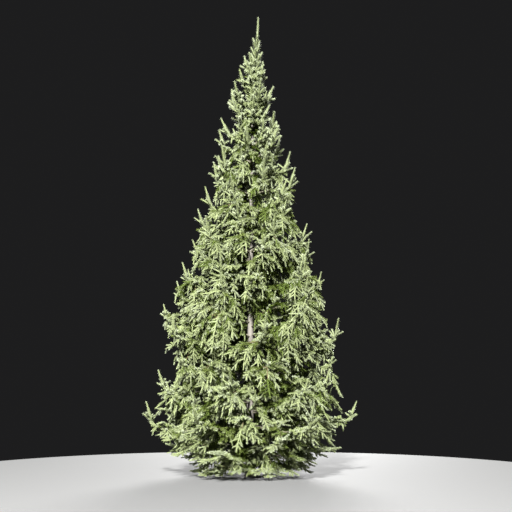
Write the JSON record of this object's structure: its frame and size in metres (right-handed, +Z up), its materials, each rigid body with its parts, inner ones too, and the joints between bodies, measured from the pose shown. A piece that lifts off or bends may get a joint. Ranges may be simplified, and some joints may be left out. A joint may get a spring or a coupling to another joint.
{
  "type": "spruce tree",
  "caption": "Young spruce with a straight tapering trunk, whorled boughs with upturned tips, and a narrow cone of pale green needles that reaches nearly to the ground.",
  "frame": {"origin": "centre of the flat cut under the trunk, at ground level", "axes": "+Z up along the trunk, -Y towards the side that the reference view shows, +X to that view's right"},
  "size_m": [3.9134, 3.4645, 8.73],
  "materials": {
    "bark": "rough pinkish-grey bark in thin flakes",
    "needles": "matt yellow-green needles, paler at the shoot tips"
  },
  "bodies": {
    "root": {"trunk": "bark", "bough_1_1": "bark", "foliage_1_1": "needles", "bough_1_2": "bark", "foliage_1_2": "needles", "bough_1_3": "bark", "foliage_1_3": "needles", "bough_1_4": "bark", "foliage_1_4": "needles", "bough_2_1": "bark", "foliage_2_1": "needles", "bough_2_2": "bark", "foliage_2_2": "needles", "bough_2_3": "bark", "foliage_2_3": "needles", "bough_2_4": "bark", "foliage_2_4": "needles", "bough_2_5": "bark", "foliage_2_5": "needles", "bough_2_6": "bark", "foliage_2_6": "needles", "bough_3_1": "bark", "foliage_3_1": "needles", "bough_3_2": "bark", "foliage_3_2": "needles", "bough_3_3": "bark", "foliage_3_3": "needles", "bough_3_4": "bark", "foliage_3_4": "needles", "bough_3_5": "bark", "foliage_3_5": "needles", "bough_4_1": "bark", "foliage_4_1": "needles", "bough_4_2": "bark", "foliage_4_2": "needles", "bough_4_3": "bark", "foliage_4_3": "needles", "bough_4_4": "bark", "foliage_4_4": "needles", "bough_4_5": "bark", "foliage_4_5": "needles", "bough_5_1": "bark", "foliage_5_1": "needles", "bough_5_2": "bark", "foliage_5_2": "needles", "bough_5_3": "bark", "foliage_5_3": "needles", "bough_5_4": "bark", "foliage_5_4": "needles", "bough_5_5": "bark", "foliage_5_5": "needles", "foliage_ring_1": "needles", "foliage_ring_2": "needles", "foliage_ring_3": "needles", "foliage_ring_4": "needles", "foliage_ring_5": "needles", "foliage_ring_6": "needles", "foliage_ring_7": "needles", "foliage_leader": "needles"}
  },
  "joints": []
}
